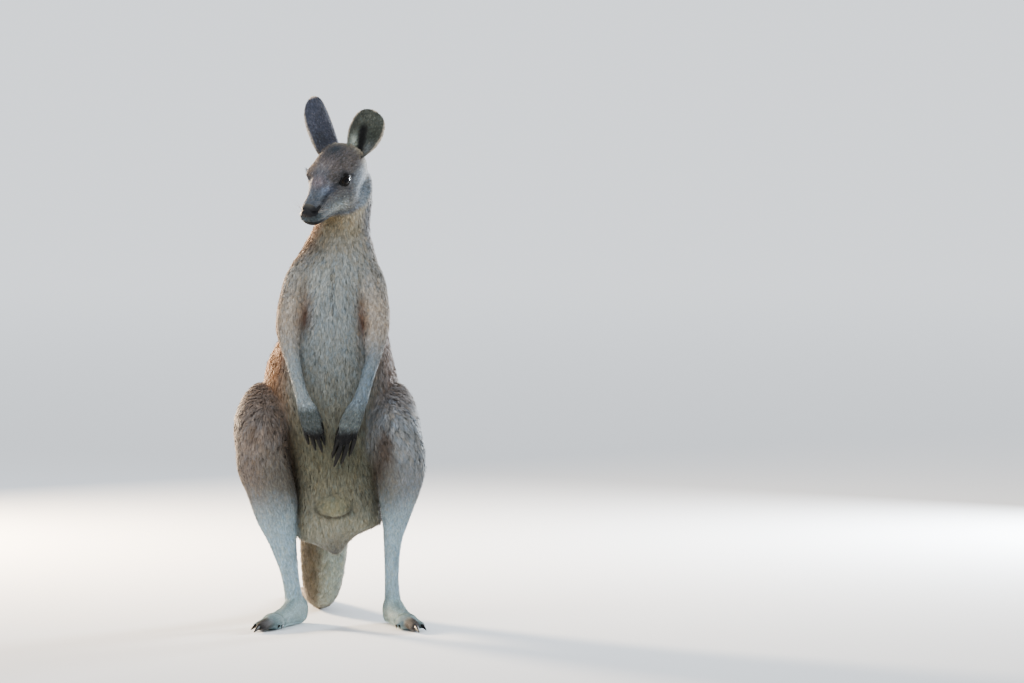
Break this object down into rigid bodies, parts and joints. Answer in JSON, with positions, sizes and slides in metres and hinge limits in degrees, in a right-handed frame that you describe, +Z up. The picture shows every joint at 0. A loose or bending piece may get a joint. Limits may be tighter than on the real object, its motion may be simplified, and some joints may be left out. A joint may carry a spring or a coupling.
{
  "type": "kangaroo",
  "caption": "Upright alert eastern grey kangaroo, forearms hanging before the belly, head turned to its right, tail laid back along the floor; a still life-size museum model.",
  "frame": {"origin": "on the floor under the middle of the model's box", "axes": "+Z up, -Y the way the feet and trunk face, +X the animal's left"},
  "size_m": [0.4342, 0.9616, 1.1921],
  "materials": {
    "coat": "short dense grey-brown fur, pale below and dark at hands and feet",
    "eye": "wet dark brown gloss",
    "claw": "smooth black horn with a satin sheen"
  },
  "bodies": {
    "root": {"trunk": "coat", "neck": "coat", "head": "coat", "ear_R": "coat", "ear_L": "coat", "tail_base": "coat", "tail_middle": "coat", "tail_tip": "coat", "upper_arm_R": "coat", "upper_arm_L": "coat", "forearm_R": "coat", "forearm_L": "coat", "hand_R": "coat", "hand_L": "coat", "thigh_R": "coat", "thigh_L": "coat", "shank_R": "coat", "shank_L": "coat", "foot_R": "coat", "foot_L": "coat", "toes_R": "coat", "toes_L": "coat", "eye_R": "eye", "eye_L": "eye", "claw_hand1_R": "claw", "claw_hand2_R": "claw", "claw_hand3_R": "claw", "claw_hand4_R": "claw", "claw_hand5_R": "claw", "claw_hand1_L": "claw", "claw_hand2_L": "claw", "claw_hand3_L": "claw", "claw_hand4_L": "claw", "claw_hand5_L": "claw", "claw_toe2_R": "claw", "claw_toe3_R": "claw", "claw_toe4_R": "claw", "claw_toe5_R": "claw", "claw_toe2_L": "claw", "claw_toe3_L": "claw", "claw_toe4_L": "claw", "claw_toe5_L": "claw"}
  },
  "joints": []
}
